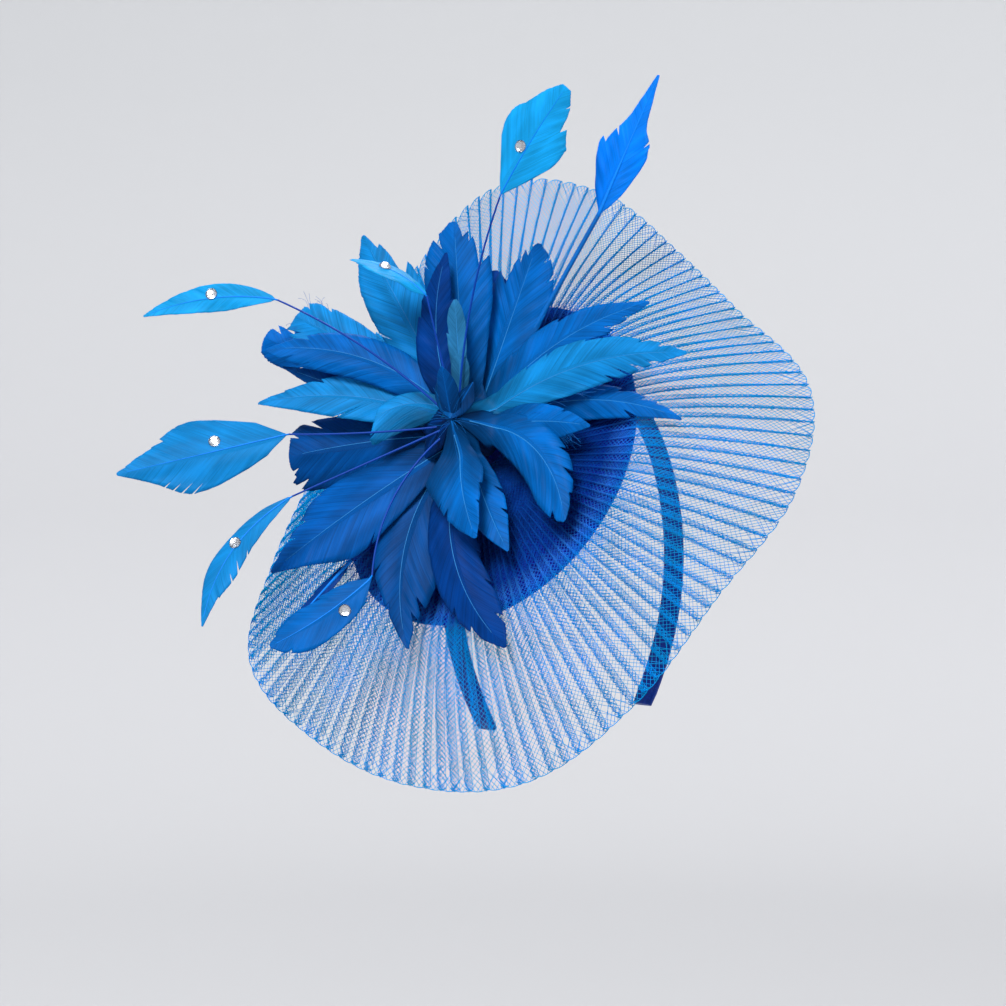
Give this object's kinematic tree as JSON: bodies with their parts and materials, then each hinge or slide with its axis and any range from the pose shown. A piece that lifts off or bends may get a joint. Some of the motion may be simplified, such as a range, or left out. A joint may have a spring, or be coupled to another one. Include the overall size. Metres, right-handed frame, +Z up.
{
  "type": "feather fascinator",
  "caption": "Blue fascinator: pleated crin brim over a round base, with a flower of cut feathers, arrow-tip feathers and crystals, on a slim headband.",
  "frame": {"origin": "inside of the headband's top, where it sits on the head", "axes": "+Z up over the wearer's head, -Y the way the wearer faces, -X the wearer's right side, where the brim sits"},
  "size_m": [0.2414, 0.2469, 0.278],
  "materials": {
    "headband_satin": "navy satin ribbon, soft sheen",
    "base_straw": "dark royal blue woven straw cloth, matt",
    "crin_net": "fine blue monofilament net in knife pleats, slight gloss",
    "feather": "royal blue cut feather, silky along the barbs",
    "arrow_feather": "bright blue trimmed feather with a stripped quill",
    "crystal": "clear cut crystal with a silver foil back"
  },
  "bodies": {
    "root": {"arrow_feather_a": "arrow_feather", "arrow_feather_b": "arrow_feather", "arrow_feather_c": "arrow_feather", "arrow_feather_d": "arrow_feather", "arrow_feather_e": "arrow_feather", "arrow_feather_f": "arrow_feather", "arrow_feather_g": "arrow_feather", "arrow_feather_h": "arrow_feather", "base_disc": "base_straw", "crin_brim": "crin_net", "crystal_a": "crystal", "crystal_c": "crystal", "crystal_d": "crystal", "crystal_e": "crystal", "crystal_f": "crystal", "crystal_g": "crystal", "flower_heart": "feather", "headband": "headband_satin", "petal_down": "feather", "petal_down_left": "feather", "petal_down_mid": "feather", "petal_front": "feather", "petal_front_back": "feather", "petal_front_right": "feather", "petal_left_back": "feather", "petal_left_low": "feather", "petal_left_mid": "feather", "petal_left_small": "feather", "petal_left_strap": "feather", "petal_left_top": "feather", "petal_left_upper": "feather", "petal_right_high": "feather", "petal_right_low": "feather", "petal_right_mid": "feather", "petal_right_short": "feather", "petal_up": "feather", "petal_up_back": "feather", "petal_up_inner": "feather", "petal_up_left": "feather", "petal_up_right": "feather", "petal_up_short_a": "feather", "petal_up_short_b": "feather"}
  },
  "joints": []
}
